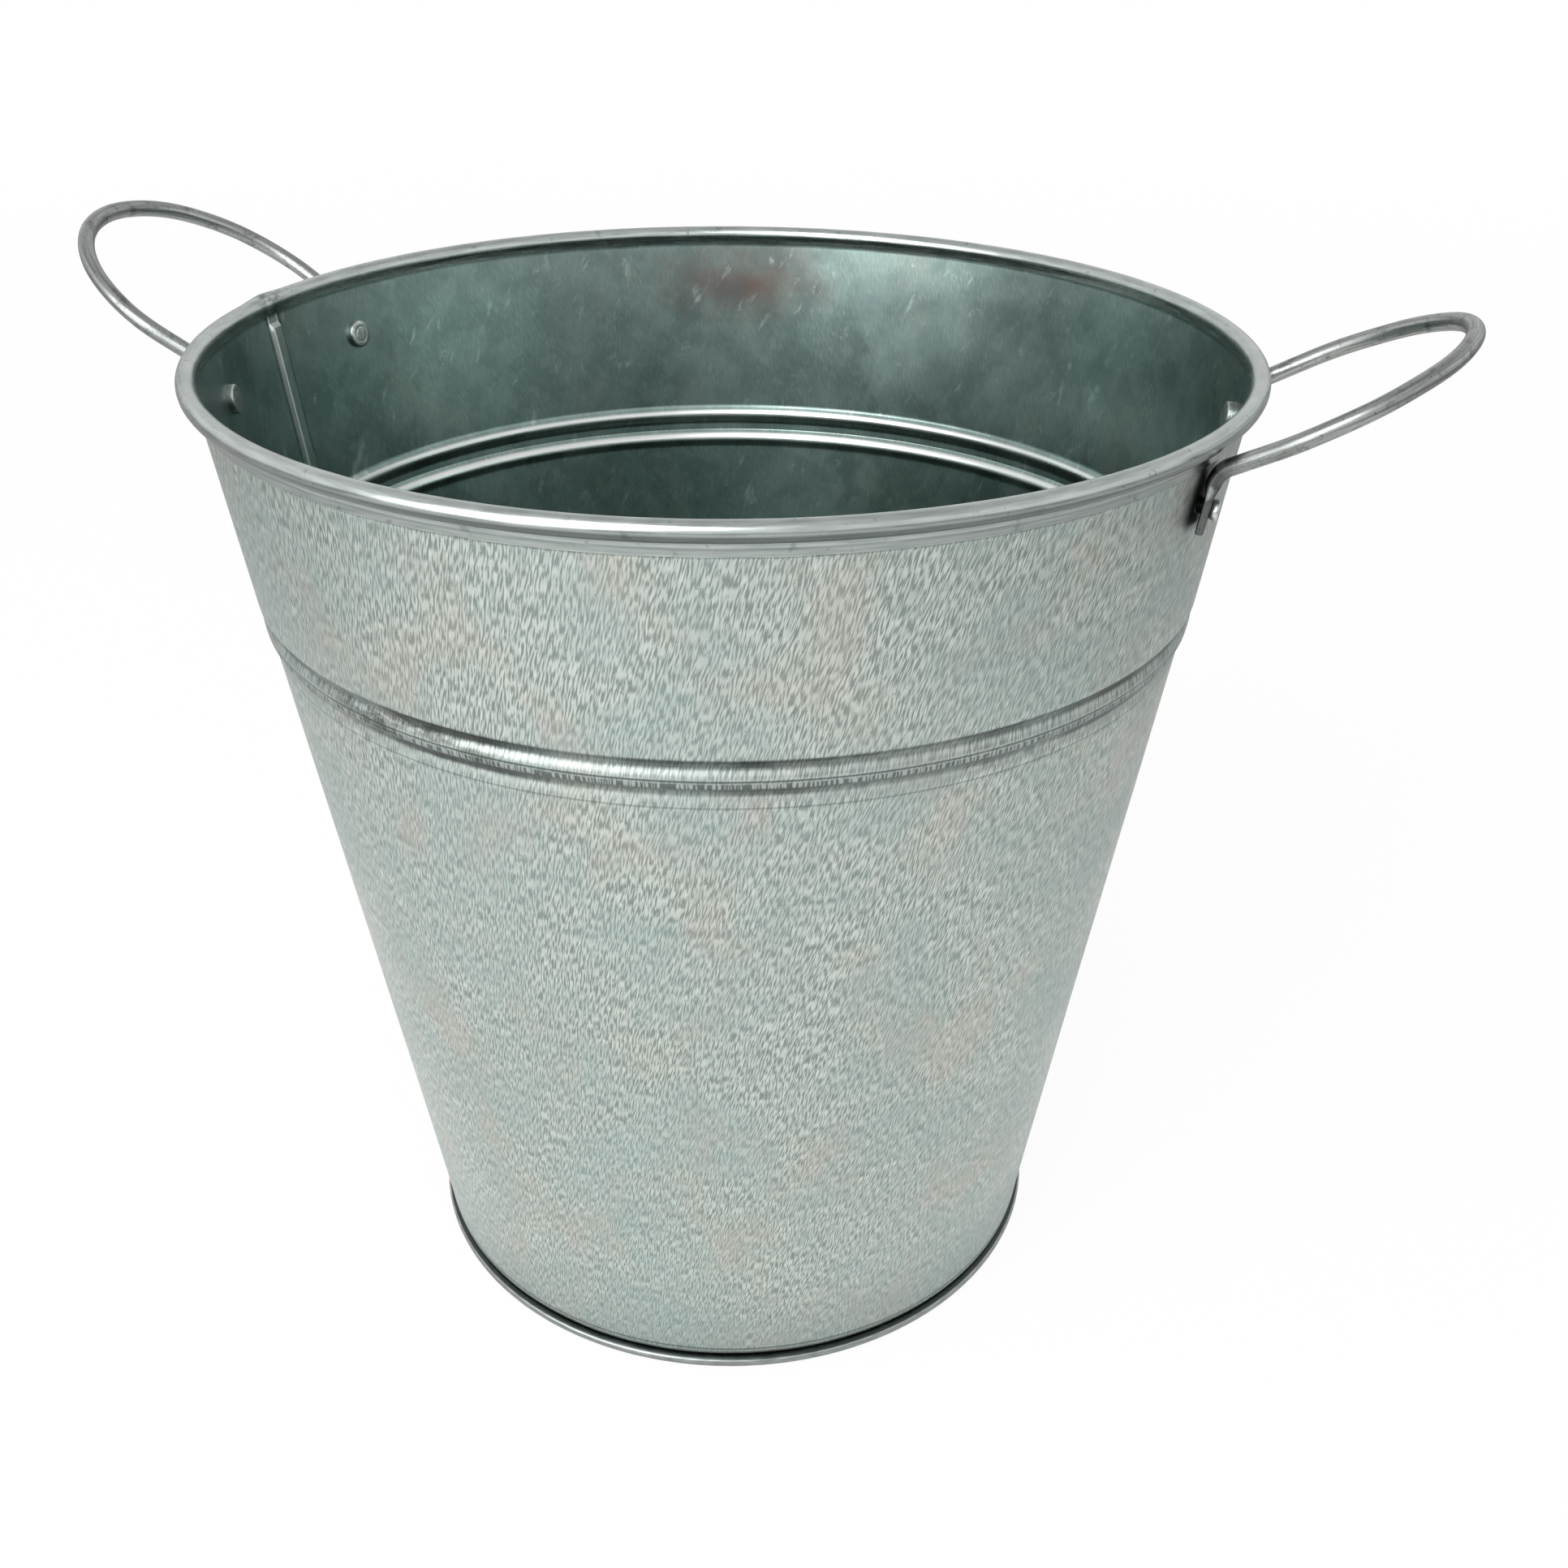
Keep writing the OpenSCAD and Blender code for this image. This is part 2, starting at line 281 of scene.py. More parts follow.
def zinc_sheet(name, light, dark, cool, warm, rough, streak=1.0, blotch=0.16, relief=0.35,
               stain=False, marks=False, level=False):
    """Hot-dip galvanised steel sheet, skin-passed: fine upright strokes over clouded zinc, satin."""
    mat, t = new_material(name)
    place, along, up = level_sheet(t) if level else round_wall(t)
    # slanting strokes, which give the sheet its brushed grain
    stroke_w, stroke_h, nick_w, nick_h = 0.40, 3.2, 0.38, 2.4
    lean = calc(t, "SUBTRACT", along, calc(t, "MULTIPLY", up, 0.22))
    sway = calc(t, "MULTIPLY", calc(t, "SUBTRACT", noise(t, place, 40.0), 0.5), 2.0)
    grain = noise(t, at(t, calc(t, "ADD", lean, sway), up, stroke_w, stroke_h), 1.0, 0.0, 0.5, 0.05)
    stroke = spread(t, grain, 0.42, 0.58)
    # shorter bright nicks between them
    nick_and_glint = spread(t, noise(t, at(t, lean, up, nick_w, nick_h, 7.0), 1.0, 0.0, 0.5, 0.05), 0.56, 0.70)
    # mottling of the zinc, about 4 mm, and two layers of cloud, about 30 mm
    mottle = spread(t, noise(t, place, 230.0, 1.0, 0.5), 0.40, 0.62)
    cloud = spread(t, noise(t, place, 30.0, 3.0, 0.6, 0.4), 0.42, 0.60)
    patch = spread(t, noise(t, at(t, along, up, 26.0, 38.0, 3.0), 1.0, 2.5, 0.55, 0.2), 0.50, 0.68)
    body = blend(t, calc(t, "MULTIPLY", stroke, streak), linear(dark), linear(light))
    body = tint(t, body, nick_and_glint, 0.45 * streak, "#E4EBE7")
    body = tint(t, body, mottle, blotch, dark)
    body = tint(t, body, cloud, 0.34, cool)
    body = tint(t, body, patch, 0.30, warm)
    # small dark flecks where the zinc is bruised
    fleck = spread(t, noise(t, place, 900.0, 1.0), 0.72, 0.78)
    body = tint(t, body, fleck, 0.45 * streak, "#68726F")
    shine = calc(t, "ADD", calc(t, "MULTIPLY", cloud, 0.6), calc(t, "MULTIPLY", stroke, relief))
    gloss = spread(t, shine, 0.0, 1.0, rough - 0.06, rough + 0.08)
    height = calc(t, "ADD", stroke, calc(t, "MULTIPLY", nick_and_glint, 0.8))
    if marks:
        body = swage_marks(t, body, along, up)
        body = crease_marks(t, body, along, up)
        # painted shadow and reflection of the handles' flat ends on the wall
        body = tab_painted_shade(t, body, along, up)
    if stain:
        body = scorch_marks(t, body, place, along, up)
        body = seam_marks(t, body, along, up)
    close(t, body, gloss, bump(t, relief, GRAIN_DEPTH, height))
    return mat


def swage_marks(t, body, along, up):
    """Painted shade on the grooves' upper flanks, painted highlights on their lower shoulders, fine lines, a
    painted shadow under the rim's tail, and the rollers' ticks on the crest.
    """
    flank_shade_depth = spread(t, noise(t, at(t, along, up, 34.0, 60.0, 5.0), 1.0, 2.0), 0.40, 0.60, 0.45, 0.92)
    for drop, half in ((60.3, 0.5), (67.3, 0.6)):       # painted highlight on the grooves' lower shoulders, which face up
        body = tint(t, body, line(t, up, RIM_Z - drop, half, 0.9), 0.12, "#F4F6F4")
    for drop, half in ((57.4, 0.9), (64.9, 1.2)):       # painted shade and dark reflection on the grooves' upper flanks, which face down
        body = tint(t, body, line(t, up, RIM_Z - drop, half, 0.9), flank_shade_depth, "#333938")
    # thin dark lines between and below the swages; the one at RIM_Z - 6.3 is a painted shadow under the rim's
    # tail
    for drop, depth in ((61.8, 0.85), (69.8, 0.42), (6.3, 0.45)):
        body = tint(t, body, line(t, up, RIM_Z - drop, 0.10, 0.35), depth, "#4E5957")
    tick = spread(t, noise(t, at(t, along, up, 0.6, 8.0, 2.0), 1.0, 0.0), 0.45, 0.58)
    crest = line(t, up, RIM_Z - 63.2, 0.6, 0.5)
    body = tint(t, body, crest, 0.90, "#606966")
    body = tint(t, body, both(t, tick, crest), 0.40, "#E6EAE8")
    # dark blotched smudges over the swages, to the left of the front's middle
    side = calc(t, "ABSOLUTE", calc(t, "ADD", along, ROUND_R * SMEAR_TURN))
    smear = both(t, spread(t, side, 8.0, 34.0, 1.0, 0.0), line(t, up, RIM_Z - 61.4, 3.8, 2.4))
    blot = spread(t, noise(t, at(t, along, up, 9.0, 4.0, 6.0), 1.0, 4.0, 0.65, 0.4), 0.46, 0.60)
    return tint(t, body, both(t, smear, blot), 0.75, "#3A3A35")


def crease_marks(t, body, along, up):
    """Painted shade in the foot's crease, painted glints along its edge, a thin dark line above it, and the
    wall darker towards the bottom.
    """
    low = spread(t, up, 8.0, 42.0, 0.30, 0.0)
    body = blend(t, low, body, linear("#7B8786"))
    # painted shade and dark reflection in the crease above the fold
    crease_shade = spread(t, up, 4.3, 6.0, 1.0, 0.0)
    body = tint(t, body, crease_shade, 0.86, "#283334")
    # painted glints along the crease's edge
    nick_and_glint = spread(t, noise(t, at(t, along, up, 3.2, 0.9, 12.0), 1.0, 1.0), 0.58, 0.66)
    body = tint(t, body, line(t, up, 7.9, 0.20, 0.45), 0.75, "#56635F")
    return tint(t, body, both(t, nick_and_glint, line(t, up, 5.3, 0.25, 0.25)), 0.8, "#D5DEDC")


def tab_painted_shade(t, body, along, up):
    """Painted shadow and painted dark reflection of each handle's flat end on the wall round it, up to the
    rim.
    """
    tall = line(t, up, (RIM_Z - 5 + RIVET_Z - 5) / 2, (RIM_Z - RIVET_Z) / 2 - 1.0, 3.0)
    for side in ("left", "right"):
        for s in (1, -1):
            turn = (TURN[side] + s * LEG_TURN + pi) % (2 * pi) - pi
            off = line(t, along, ROUND_R * turn, 3.0, 3.5)
            body = tint(t, body, both(t, off, tall), 0.88, "#15191A")
    return body


def scorch_marks(t, body, place, along, up):
    """A brown bloom where the zinc was scorched, high on the back, with pale scuffs and dull clouds."""
    side = calc(t, "SUBTRACT", along, ROUND_R * SCORCH_TURN)
    tall = calc(t, "SUBTRACT", up, RIM_Z - SCORCH_DROP)
    wide_part = calc(t, "POWER", calc(t, "ABSOLUTE", calc(t, "DIVIDE", side, SCORCH_W)), 2.0)
    tall_part = calc(t, "POWER", calc(t, "ABSOLUTE", calc(t, "DIVIDE", tall, SCORCH_H)), 2.0)
    far = calc(t, "SQRT", calc(t, "ADD", wide_part, tall_part))
    wobble = calc(t, "MULTIPLY", calc(t, "SUBTRACT", noise(t, place, 120.0, 3.0), 0.5), 1.3)
    ragged = calc(t, "ADD", far, wobble)
    body = blend(t, spread(t, ragged, 0.05, 1.1, 0.72, 0.0), body, linear("#7C5E58"))
    dull = spread(t, noise(t, at(t, along, up, 9.0, 11.0, 15.0), 1.0, 2.0, 0.5, 0.2), 0.44, 0.60)
    body = tint(t, body, dull, 0.30, "#66797A")
    leaning = slanted(t, along, up, 0.35)
    scuff = spread(t, noise(t, at(t, leaning, up, 5.0, 11.0, 9.0), 1.0, 5.0, 0.7, 0.5), 0.60, 0.70)
    body = tint(t, body, scuff, 0.50, "#D8E2DF")
    for drop in (57.8, 65.4):                           # inside, the swages stand proud, with painted highlights along their ridges
        body = tint(t, body, line(t, up, RIM_Z - drop, 0.8, 0.6), 0.8, "#EEF0EE")
    return body


def seam_marks(t, body, along, up):
    """The lock seam's rib inside: painted highlights on its face and two edges, and a painted shadow along
    its foot.
    """
    near = calc(t, "SUBTRACT", ROUND_R * pi, calc(t, "ABSOLUTE", along))
    wall_here = calc(t, "ADD", calc(t, "MULTIPLY", up, SLOPE), BASE_R)
    off = calc(t, "MULTIPLY", near, calc(t, "DIVIDE", wall_here, ROUND_R))
    # painted highlights on the rib's face and edges, then a painted shadow along its foot
    body = tint(t, body, spread(t, off, 1.6, 2.0, 1.0, 0.0), 0.35, "#C6D0CD")
    body = tint(t, body, line(t, off, 2.25, 0.30, 0.30), 0.85, "#F0F4F2")
    return tint(t, body, line(t, off, 3.35, 0.25, 0.60), 0.65, "#3A4745")


def zinc_fold():
    """The bottom sheet folded round the foot: dull grey, with a painted highlight along the fold's top, and
    painted shade behind it in the crease and along its bottom edge.
    """
    mat, t = new_material("zinc_folded_foot")
    place, along, up = round_wall(t)
    worn = noise(t, at(t, along, up, 6.0, 0.7), 1.0, 3.0, 0.6)
    body = blend(t, spread(t, worn, 0.35, 0.65), linear("#7E8482"), linear("#9A9F9D"))
    reach = axis_reach(t, place)
    # painted highlight along the fold's top, broken up by its wear
    edge = both(t, line(t, reach, LIP_R - 0.25, 0.16, 0.22), spread(t, worn, 0.30, 0.55, 0.65, 1.0))
    body = tint(t, body, edge, spread(t, up, LIP_H - 1.0, LIP_H - 0.6), "#F6F7F6")
    # painted shade on the fold's top behind that highlight, in the crease
    behind = spread(t, reach, LIP_R - 0.75, LIP_R - 0.35, 1.0, 0.0)
    crease_shade = both(t, behind, spread(t, up, LIP_H * 0.55, LIP_H * 0.7))
    body = tint(t, body, crease_shade, 0.85, "#242D2E")
    # painted shade along the bottom edge, where it meets the floor
    body = tint(t, body, spread(t, up, 0.4, 1.1, 1.0, 0.0), 0.65, "#4F5655")
    close(t, body, spread(t, worn, 0.3, 0.7, 0.26, 0.40), bump(t, 0.4, FOLD_DEPTH, worn))
    return mat


def zinc_rim():
    """The same sheet rolled over its wire: smoother where the roll burnished it, with a few dark scuffs.

    Its lower outer half and tail carry painted shade: a painted dark reflection of the floor under the bead,
    and thin painted shade lines along the tail.
    """
    mat, t = new_material("zinc_rolled_rim")
    place, along, up = round_wall(t)
    drawn = noise(t, at(t, along, up, 12.0, 0.9), 1.0, 3.0, 0.55, 0.2)
    scuff = spread(t, noise(t, place, 330.0, 3.0, 0.6), 0.62, 0.70)
    body = blend(t, spread(t, drawn, 0.35, 0.65), linear("#A9B1AE"), linear("#C3CAC7"))
    body = tint(t, body, scuff, 0.40, "#6A7271")
    outer = spread(t, axis_reach(t, place), RIM_R - 1.2, RIM_R - 0.4)
    # painted dark reflection and shade on the bead's lower outer half
    under = both(t, spread(t, up, RIM_Z + 0.1, RIM_Z - 0.7), spread(t, up, RIM_Z - 4.1, RIM_Z - 3.6))
    body = tint(t, body, both(t, under, outer), 0.78, "#3F4645")
    # thin painted shade lines along the tail
    for drop, half, depth in ((4.3, 0.10, 0.5), (5.2, 0.4, 0.3)):
        body = tint(t, body, line(t, up, RIM_Z - drop, half, 0.45), depth, "#4A5251")
    seam = spread(t, calc(t, "ABSOLUTE", along), ROUND_R * pi - 9.0, ROUND_R * pi - 2.0)
    rubbed = spread(t, noise(t, at(t, along, up, 3.0, 1.2, 4.0), 1.0, 3.0, 0.6), 0.42, 0.6)
    body = tint(t, body, both(t, seam, rubbed), 0.7, "#4A5251")
    close(t, body, spread(t, drawn, 0.3, 0.7, 0.20, 0.30), bump(t, 0.25, GRAIN_DEPTH, drawn))
    return mat


def drawn_wire():
    """Galvanised drawn wire: smooth grey zinc with long faint draw lines, fine pits and darker spots."""
    mat, t = new_material("zinc_wire_handle")
    place = add(t, "ShaderNodeTexCoord").outputs["Object"]
    run = add(t, "ShaderNodeUVMap", uv_map="run").outputs[0]
    drawn_out = add(t, "ShaderNodeVectorMath", {0: run, 1: (1.6, 0.055, 1.0)}, operation="MULTIPLY")
    long = noise(t, drawn_out.outputs[0], 1.0, 3.0, 0.6)
    spot = spread(t, noise(t, place, 210.0, 3.0, 0.65), 0.56, 0.68)
    pit = spread(t, noise(t, place, 1400.0, 2.0, 0.6), 0.60, 0.70)
    body = blend(t, spread(t, long, 0.35, 0.65), linear("#ADB0AE"), linear("#7F8381"))
    body = tint(t, body, spot, 0.6, "#585C5A")
    body = tint(t, body, pit, 0.55, "#4E5352")
    # the hammered flat ends, darker
    end = add(t, "ShaderNodeSeparateXYZ", {0: run}).outputs["Y"]
    body = blend(t, spread(t, end, 15.0, 21.0, 0.78, 0.0), body, linear("#3C403E"))
    relief = calc(t, "ADD", long, calc(t, "MULTIPLY", pit, -0.7))
    close(t, body, spread(t, long, 0.3, 0.7, 0.24, 0.38), bump(t, 0.3, GRAIN_DEPTH, relief))
    return mat


def zinc_wire(name, light, dark, rough):
    """Galvanised steel of the rivets and the hidden wire: grey zinc with darker rubbed blotches, and painted
    shade round a rivet's shank.
    """
    mat, t = new_material(name)
    place = add(t, "ShaderNodeTexCoord").outputs["Object"]
    blotch = spread(t, noise(t, place, 240.0, 3.0, 0.6, 0.4), 0.40, 0.62)
    pit = spread(t, noise(t, place, 1300.0, 2.0, 0.6), 0.58, 0.70)
    body = blend(t, blotch, linear(light), linear(dark))
    body = tint(t, body, pit, 0.5, "#4E5352")
    # painted shade round a rivet's shank, in the gap between the wall and the flat end
    shank_shade = line(t, axis_reach(t, place), float(wall_r(RIVET_Z)) + 1.3, 1.2, 0.3)
    body = blend(t, shank_shade, body, linear("#131616"))
    relief = calc(t, "ADD", blotch, calc(t, "MULTIPLY", pit, -0.7))
    gloss = spread(t, blotch, 0.0, 1.0, rough - 0.06, rough + 0.08)
    close(t, body, gloss, bump(t, 0.45, WIRE_DEPTH, relief))
    return mat


def seal_compound():
    """Cured black sealing compound, squeezed into the fold: matt, slightly uneven."""
    mat, t = new_material("sealing_compound")
    place = add(t, "ShaderNodeTexCoord").outputs["Object"]
    lump = noise(t, place, 500.0, 3.0)
    body = blend(t, lump, linear("#1B1C1C"), linear("#2C2D2C"))
    close(t, body, spread(t, lump, 0.3, 0.7, 0.6, 0.75), bump(t, 0.3, SEAL_DEPTH, lump), 0.0)
    return mat


# ---- Wall ----

def cone_r(z):
    return BASE_R + SLOPE * z


def wall_r(z):
    """Outer radius of the wall at a height, with its two swages and the wider band over them."""
    z = np.asarray(z, float)

    def dip(top):
        u = np.clip((top - z) / SWAGE_W, 0, 1)
        return np.sin(pi * u ** 0.75) ** 2

    u = np.clip((z - SWAGE_2 + SWAGE_W) / SWAGE_W, 0, 1)
    band = BAND_STEP + (BAND_TOP - BAND_STEP) * np.maximum(0, z - SWAGE_1) / SWAGE_DROP
    return cone_r(z) + band * (1 - np.cos(pi * u)) / 2 - SWAGE_DEPTH * (dip(SWAGE_1) + dip(SWAGE_2))


NECK_R = cone_r(NECK_H) - NECK_IN
FOLD_MID = LIP_R - LIP_H / 2


def wall_profile():
    """The sheet's closed outline, and the finish of each piece of it: 0 outside, 1 inside, 2 rolled rim."""
    flange_top, bend = 2 * SHEET + SEAL_T, 0.5
    flange_r = FOLD_MID + LIP_H / 2 - 2 * SHEET
    flange = np.vstack([[[flange_r, flange_top], [NECK_R + bend + 0.2, flange_top]],
                        arc((NECK_R + bend, flange_top + bend), bend, 270, 180, 6)])
    u = np.linspace(0, 1, 8)
    neck_r = NECK_R + (cone_r(NECK_H) - NECK_R) * (1 - np.cos(pi * u)) / 2
    neck = np.stack([neck_r, NECK_H - 0.9 + 0.9 * u], 1)
    low = SWAGE_2 - SWAGE_W
    zs = np.concatenate([np.linspace(NECK_H + 1.5, low - 1, 34), np.linspace(low, SWAGE_1, 64),
                         np.linspace(SWAGE_1 + 1, RIM_Z - 8, 10), np.linspace(RIM_Z - 7, RIM_Z - 2.6, 5)])
    wall = np.stack([wall_r(zs), zs], 1)
    to = np.array([wall[-1, 0] - RIM_R, -2.6])
    start = 360 + np.degrees(atan2(to[1], to[0]) - acos(WRAP_R / np.linalg.norm(to)))
    tail_r = float(wall_r(RIM_Z - TAIL_DROP / 2)) + TAIL_GAP + SLOPE * TAIL_DROP / 4
    end_r = float(wall_r(RIM_Z - TAIL_DROP)) + TAIL_GAP
    curl = np.vstack([arc((RIM_R, RIM_Z), WRAP_R, start, -90, 30),
                      arc((tail_r + 0.8, RIM_Z - WRAP_R - 0.8), 0.8, 90, 180, 5),
                      [[end_r + 0.03, RIM_Z - TAIL_DROP + 1.2], [end_r, RIM_Z - TAIL_DROP]]])
    path = np.vstack([flange, neck, wall, curl])
    inner = shifted(path, SHEET)
    k = len(flange) + len(neck) + len(wall)
    n = len(path)
    slots = [0] * k + [2] * (2 * (n - k)) + [1] * k
    kind = np.array([0] * k + [1] * (2 * (n - k)) + [2] * k)      # 0 outer face, 1 rim, 2 inner face
    return np.vstack([path, inner[::-1]]), slots, kind


def wall_angles():
    """Even steps round the bucket, and fine ones where the lock seam's rib has its edges."""
    fine = np.array([-3.4, -2.95, -2.75, -2.55, -2.35, -2.25, -2.15, -1.9, -1.3, -0.6, 0,
                     0.6, 1.3, 1.9, 2.15, 2.25, 2.35, 2.55, 2.75, 2.95, 3.4]) / SEAM_R
    even = np.linspace(-pi, pi, 720, endpoint=False) + pi
    even = even[np.abs(even - pi) > 4.2 / SEAM_R]
    return np.sort(np.concatenate([even, pi + fine]))


def wall(mats):
    profile, slots, kind = wall_profile()
    slow, quick, tilt = ripple(4, (3, 9)), ripple(11, (30, 70), 12), ripple(7, (2, 7))
    facet = ripple(15, (90, 150), 10)

    def warp(a, r, z):
        off = a - pi
        hold = 1 - smooth(np.abs(off), 0.06, 0.25)
        a = pi + off * (1 + (SEAM_R / np.maximum(r, 1) - 1) * hold)   # keeps the rib's width down the taper
        s = (a - pi) * r                                              # distance from the seam's middle
        rib = 1 - smooth(np.abs(s), SEAM_W / 2 - 0.3, SEAM_W / 2 + 0.6)
        k = np.repeat(kind[None, :], len(a), 0)
        tall = smooth(z, 8, 40) * (1 - smooth(z, RIM_Z - 16, RIM_Z - 4))
        # the sheet's slow waves, and the shallow dents of handling
        wave = 0.10 * slow(a + z / 260) + 0.05 * tilt(2 * a - z / 90) + 0.03 * quick(a / 2 + z / 400)
        r = r + (k != 1) * tall * (wave - 0.05)
        above = np.maximum(z - NECK_H, 0)
        r = r + (k != 1) * smooth(z, NECK_H - 0.4, NECK_H + 0.4) * 0.35 * np.exp(-above / 4.0)
        # the seam's rib inside, and its closing line outside
        inside = (k == 2) * smooth(z, NECK_H + 0.5, NECK_H + 3) * (1 - smooth(z, RIM_Z - 6, RIM_Z - 4.6))
        r = r - inside * rib * SEAM_T
        groove = np.exp(-((s - SEAM_W / 2) / 0.22) ** 2)
        r = r - (k == 0) * smooth(z, NECK_H, NECK_H + 2) * 0.12 * groove
        # the rim is never quite even: rolled in short bites, and thicker over the seam
        rim = k == 1
        dr, dz = r - RIM_R, z - RIM_Z
        bite = -0.030 + 0.022 * facet(a) + 0.02 * quick(a)
        swell = 0.22 * np.exp(-(s / 7.0) ** 2)
        r = np.where(rim, RIM_R + dr * (1 + bite / 2.2 + swell) - 0.08 + 0.08 * slow(a), r)
        z = np.where(rim, RIM_Z + dz * (1 + bite / 2.2 + swell) - 0.06 + 0.06 * tilt(a), z)
        # the tail's edge wanders
        tail = rim * (1 - smooth(z, RIM_Z - TAIL_DROP, RIM_Z - TAIL_DROP + 2.0))
        z = z + tail * (0.22 * quick(a) + 0.12 * slow(2 * a))
        return a, r, z

    obj = lathe("wall_sheet", profile, slots, wall_angles(), mats, warp)
    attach(obj, "root")
    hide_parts("wall")


# ---- Bottom ----

def plate_profile():
    """The bottom sheet's middle line from its fold over the flange to the middle of the disc."""
    half, edge_bend, disc_bend = SHEET / 2, 0.4, 0.8
    edge_r = NECK_R - SHEET - 0.1 - half
    path = np.vstack([
        [[NECK_R + 0.5, LIP_H - half]], arc((FOLD_MID, LIP_H / 2), LIP_H / 2 - half, 90, -90, 16),
        [[FOLD_MID - 0.2, half], [edge_r + edge_bend + 0.2, half]],
        arc((edge_r + edge_bend, half + edge_bend), edge_bend, 270, 180, 5),
        arc((edge_r - disc_bend, BOTTOM_RISE - half - disc_bend), disc_bend, 0, 90, 8)])
    disc = np.linspace(edge_r - disc_bend - 1, 0.4, 30)
    path = np.vstack([path, np.stack([disc, np.full(30, BOTTOM_RISE - half)], 1)])
    return np.vstack([shifted(path, half), shifted(path, -half)[::-1]])


def bottom(mats):
    profile = plate_profile()
    slots = [int(r > NECK_R - 0.3) for r in profile[:, 0]]
    slow, nicks = ripple(21, (4, 12)), ripple(23, (60, 140), 14)

    def warp(a, r, z):
        lip = smooth(r, NECK_R + 0.2, LIP_R)
        top = lip * smooth(z, LIP_H - 1.2, LIP_H)
        r = r - lip * (0.05 + 0.05 * nicks(a))
        z = z - top * (0.10 + 0.10 * nicks(a) + 0.05 * slow(a))
        disc = 1 - smooth(r, 70, 97)
        z = z + disc * 0.35 * (np.cos(r / 22) * 0.5 + 0.5) * (1 + 0.4 * slow(a))
        return a, r, z

    obj = lathe("bottom_sheet", profile, slots, np.linspace(0, 2 * pi, 540, endpoint=False), mats, warp)
    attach(obj, "root")
    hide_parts("bottom_plate")


# ---- Handles ----

ROOT_Z = RIM_Z - ROOT_DROP
ROOT_R = float(wall_r(ROOT_Z)) + (HANDLE_D / 2 + ROOT_CLEAR) / cos(LEAN)
ROOT_Y = LOOP_R * cos(SPLAY) - LEG_L * sin(SPLAY)
LEG_TURN = asin(ROOT_Y / ROOT_R)
ROOT_X = ROOT_R * cos(LEG_TURN)
LOOP_X = LEG_L * cos(SPLAY) + LOOP_R * sin(SPLAY)


def out_dir(s):
    return Vector((cos(LEAN) * cos(LEG_TURN), s * cos(LEAN) * sin(LEG_TURN), -sin(LEAN)))


def up_dir(s):
    return Vector((sin(LEAN) * cos(LEG_TURN), s * sin(LEAN) * sin(LEG_TURN), cos(LEAN)))


def leg_dir(s, rise):
    return Vector((cos(SPLAY) * cos(rise), s * sin(SPLAY), cos(SPLAY) * sin(rise)))


def set_back(rise):
    return BEND_R * tan(acos(up_dir(1).dot(leg_dir(1, rise))) / 2)


RIVET_DROP = set_back(min(RISE.values())) + FLATTEN + RIVET_CLEAR + CAP_D / 2
RIVET_Z = ROOT_Z - RIVET_DROP * cos(LEAN)


def rivet_mid(s):
    r = float(wall_r(RIVET_Z))
    return Vector((r * cos(LEG_TURN), s * r * sin(LEG_TURN), RIVET_Z))


def leg_path(s, rise):
    """Points from the flat end, past its rivet, round the bend and out to the loop.

    Each comes with its flatness and the direction of its width.
    """
    root = Vector((ROOT_X, s * ROOT_Y, ROOT_Z))
    up, out, leg = up_dir(s), out_dir(s), leg_dir(s, rise)
    face = Matrix.Rotation(-s * TAB_TWIST, 3, up) @ out
    across = up.cross(face) * s
    back = set_back(rise)
    seat = rivet_mid(s) + (SEAT_GAP + TAB_T / 2 + TAB_W / 2 * sin(TAB_TWIST)) * out
    rows = []
    start = root - back * up
    top = (start - seat).dot(up)                          # from the rivet to the bend, along the wall
    sink = (start - seat - top * up).dot(out)             # how far the round wire stands off the flat end
    for h in [-TAB_TAIL, -TAB_TAIL + 0.5] + np.linspace(-4.2, top, 22).tolist():
        f = 1 - float(smooth(h, 2.6, top + 1.4))
        rows.append((seat + h * up + (1 - f) ** 1.5 * sink * out, f, across))
    lift = rows[-1][0] - start
    turn = up.angle(leg)
    normal = up.cross(leg).normalized()
    centre = start + BEND_R * normal.cross(up)
    f0 = rows[-1][1]
    for i in range(1, 15):
        w = i / 14
        arm = Matrix.Rotation(turn * w, 3, normal) @ (start - centre)
        side = (across * (1 - w) + normal * s * w).normalized()
        rows.append((centre + arm + lift * (1 - w), f0 * (1 - w) ** 1.6, side))
    flat = Vector((-sin(rise), 0, cos(rise)))
    end = root + LEG_L * leg
    first = rows[-1][0]
    for w in (0.33, 0.66):
        rows.append((first.lerp(end, w), 0.0, flat.cross(leg)))
    return rows


def handle_rows(rise):
    front = leg_path(1, rise)
    back = leg_path(-1, rise)
    flat = Vector((-sin(rise), 0, cos(rise)))
    centre = Vector((ROOT_X + LOOP_X * cos(rise), 0, ROOT_Z + LOOP_X * sin(rise)))
    u, v = Vector((cos(rise), 0, sin(rise))), Vector((0, 1, 0))
    loop = []
    for a in np.linspace(pi / 2 + SPLAY, -pi / 2 - SPLAY, 72).tolist():
        p = centre + LOOP_R * (cos(a) * u + sin(a) * v)
        ahead = sin(a) * u - cos(a) * v
        loop.append((p, 0.0, flat.cross(ahead)))
    return front + loop + [(p, f, -side) for p, f, side in reversed(back)]


